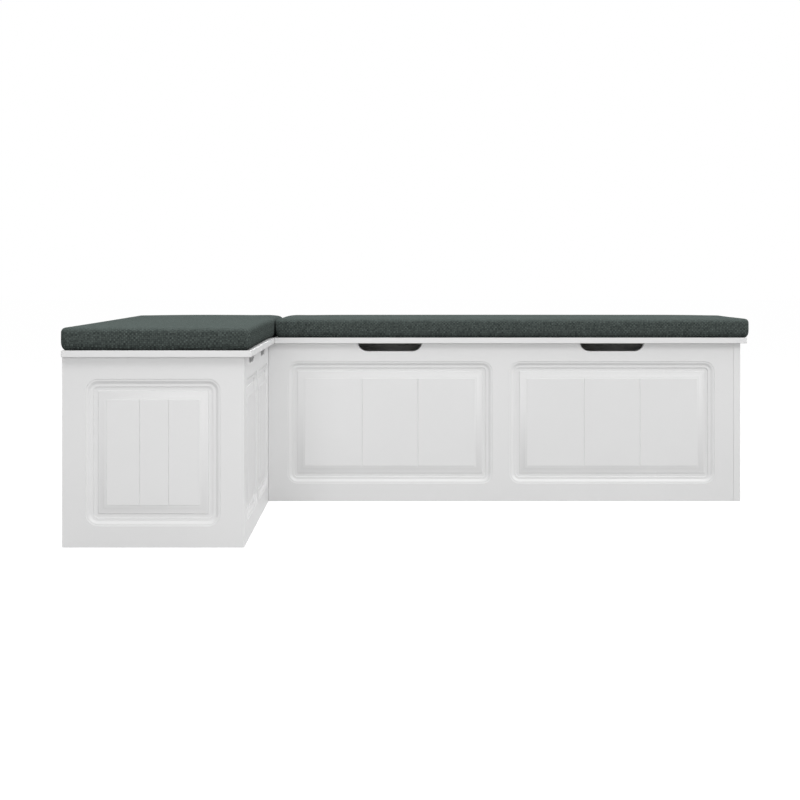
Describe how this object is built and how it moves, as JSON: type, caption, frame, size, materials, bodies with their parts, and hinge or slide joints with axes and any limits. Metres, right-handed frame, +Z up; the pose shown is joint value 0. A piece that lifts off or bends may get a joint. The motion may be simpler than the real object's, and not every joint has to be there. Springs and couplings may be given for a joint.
{
  "type": "corner storage bench",
  "caption": "L-shaped corner bench of storage boxes with raised panels, hinged lids with finger cutouts and seat cushions.",
  "frame": {"origin": "on the floor, under the middle of the bench's bounding box", "axes": "+X along the right box to its free end, +Y towards the wall behind the right box, +Z up; the left box runs along Y with its wall side at -X"},
  "size_m": [1.6768, 1.2238, 0.4872],
  "materials": {
    "white_board": "white satin foil on fibreboard",
    "cushion_cloth": "dark grey-green basket weave",
    "batten_wood": "bare sawn pine",
    "block_plastic": "matt",
    "hardware_steel": "zinc-plated"
  },
  "bodies": {
    "carcass": {"left_front_panel": "white_board", "left_end_panel": "white_board", "left_back_board": "white_board", "left_bottom_board": "white_board", "left_divider": "white_board", "left_batten_front": "batten_wood", "left_batten_back": "batten_wood", "left_corner_board": "white_board", "left_rear_board": "white_board", "right_front_panel": "white_board", "right_end_panel": "white_board", "right_back_board": "white_board", "right_bottom_board": "white_board", "right_divider": "white_board", "right_batten_front": "batten_wood", "right_batten_back": "batten_wood", "right_side_board": "white_board", "left_corner_block_1": "block_plastic", "left_corner_block_2": "block_plastic", "left_corner_block_3": "block_plastic", "left_corner_block_4": "block_plastic", "right_corner_block_1": "block_plastic", "right_corner_block_2": "block_plastic", "right_corner_block_3": "block_plastic", "right_corner_block_4": "block_plastic", "left_hinge_1_box_leaf": "hardware_steel", "left_hinge_1_pin": "hardware_steel", "left_hinge_2_box_leaf": "hardware_steel", "left_hinge_2_pin": "hardware_steel", "left_hinge_3_box_leaf": "hardware_steel", "left_hinge_3_pin": "hardware_steel", "right_hinge_1_box_leaf": "hardware_steel", "right_hinge_1_pin": "hardware_steel", "right_hinge_2_box_leaf": "hardware_steel", "right_hinge_2_pin": "hardware_steel", "right_hinge_3_box_leaf": "hardware_steel", "right_hinge_3_pin": "hardware_steel", "box_bolt_1": "hardware_steel", "box_bolt_2": "hardware_steel", "box_bolt_3": "hardware_steel", "box_bolt_4": "hardware_steel", "box_sleeve_nut_1": "hardware_steel", "box_sleeve_nut_2": "hardware_steel", "box_sleeve_nut_3": "hardware_steel", "box_sleeve_nut_4": "hardware_steel"},
    "left_seat": {"left_lid": "white_board", "left_cushion": "cushion_cloth", "left_hinge_1_lid_leaf": "hardware_steel", "left_hinge_2_lid_leaf": "hardware_steel", "left_hinge_3_lid_leaf": "hardware_steel"},
    "right_seat": {"right_lid": "white_board", "right_cushion": "cushion_cloth", "right_hinge_1_lid_leaf": "hardware_steel", "right_hinge_2_lid_leaf": "hardware_steel", "right_hinge_3_lid_leaf": "hardware_steel"}
  },
  "joints": [
    {"name": "left_lid_hinge", "type": "hinge", "parent": "carcass", "child": "left_seat", "pos_m": [-0.8354, -0.008, 0.41815], "axis": [0, -1, 0], "range_deg": [0, 90]},
    {"name": "right_lid_hinge", "type": "hinge", "parent": "carcass", "child": "right_seat", "pos_m": [0.20915, 0.6089, 0.41815], "axis": [-1, 0, 0], "range_deg": [0, 90]}
  ]
}
